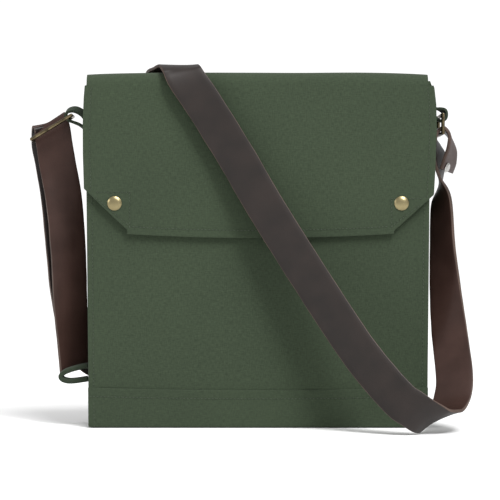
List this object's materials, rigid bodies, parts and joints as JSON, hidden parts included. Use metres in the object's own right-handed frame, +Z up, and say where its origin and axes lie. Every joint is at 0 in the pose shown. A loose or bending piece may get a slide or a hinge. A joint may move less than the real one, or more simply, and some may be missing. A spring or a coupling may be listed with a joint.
{
  "type": "messenger bag",
  "caption": "Canvas satchel with a fold-over flap, cut lower corners, snap fasteners, side rings and a long leather shoulder strap.",
  "frame": {"origin": "middle of the underside of the base panel, on the plane the bag stands on", "axes": "+X to the viewer's right when the flap's front is faced, +Y to the back of the bag, +Z up"},
  "size_m": [0.3834, 0.1682, 0.3138],
  "materials": {
    "canvas": "fine plain weave, matt",
    "strap_leather": "smooth, lightly waxed, raw edges",
    "snap_brass": "antique, satin",
    "ring_bronze": "antique, dark",
    "rivet_steel": "bright"
  },
  "bodies": {
    "bag": {"front_panel": "canvas", "bottom_band": "canvas", "back_panel": "canvas", "left_gusset": "canvas", "right_gusset": "canvas", "base_panel": "canvas", "front_mouth_hem": "canvas", "back_mouth_hem": "canvas", "divider_panel": "canvas", "left_tab": "canvas", "right_tab": "canvas", "left_tab_anchor": "canvas", "right_tab_anchor": "canvas", "keeper_loop": "canvas", "keeper_anchor": "canvas", "snap_stud_left": "snap_brass", "snap_stud_right": "snap_brass", "snap_post_left": "snap_brass", "snap_post_right": "snap_brass", "strap_top_turn": "strap_leather", "strap_back_run": "strap_leather", "strap_rear_loop": "strap_leather", "strap_rear_layer": "strap_leather", "strap_front_layer": "strap_leather"},
    "flap_top": {"flap_top_panel": "canvas", "flap_top_lining": "canvas"},
    "flap_front": {"flap_front_panel": "canvas", "flap_bottom_hem": "canvas", "flap_side_hem_left": "canvas", "flap_side_hem_right": "canvas", "corner_patch_left": "canvas", "corner_patch_right": "canvas", "snap_cap_left": "snap_brass", "snap_cap_right": "snap_brass", "snap_socket_left": "snap_brass", "snap_socket_right": "snap_brass"},
    "strap": {"right_ring": "ring_bronze", "strap_end_rivet": "rivet_steel", "strap_end_burr": "rivet_steel", "strap_end_fold": "strap_leather", "strap_right_run": "strap_leather", "strap_floor_loop": "strap_leather", "strap_front_run": "strap_leather"},
    "left_ring": {"left_ring": "ring_bronze", "strap_ring_fold": "strap_leather"}
  },
  "joints": [
    {"name": "flap_lift", "type": "hinge", "parent": "bag", "child": "flap_top", "pos_m": [0, 0.033, 0.303], "axis": [-1, 0, 0], "range_deg": [0, 95]},
    {"name": "flap_unfold", "type": "hinge", "parent": "flap_top", "child": "flap_front", "pos_m": [0, -0.0316, 0.3], "axis": [-1, 0, 0], "range_deg": [0, 76]},
    {"name": "strap_lift", "type": "hinge", "parent": "bag", "child": "strap", "pos_m": [0.1603, 0, 0.2705], "axis": [-0.9845, 0.0574, 0.1659], "range_deg": [0, 204.25], "deforming": ["strap_top_turn", "right_tab"]},
    {"name": "left_ring_swing", "type": "hinge", "parent": "bag", "child": "left_ring", "pos_m": [-0.163, 0, 0.2705], "axis": [0, 1, 0], "range_deg": [-10, 10], "stiffness_Nm_per_rad": 0.5, "deforming": ["strap_ring_fold"]}
  ],
  "couplings": [
    {"joint": "flap_unfold", "follows": "flap_lift", "ratio": 0.8},
    {"joint": "strap_lift", "follows": "flap_lift", "ratio": 2.15}
  ]
}
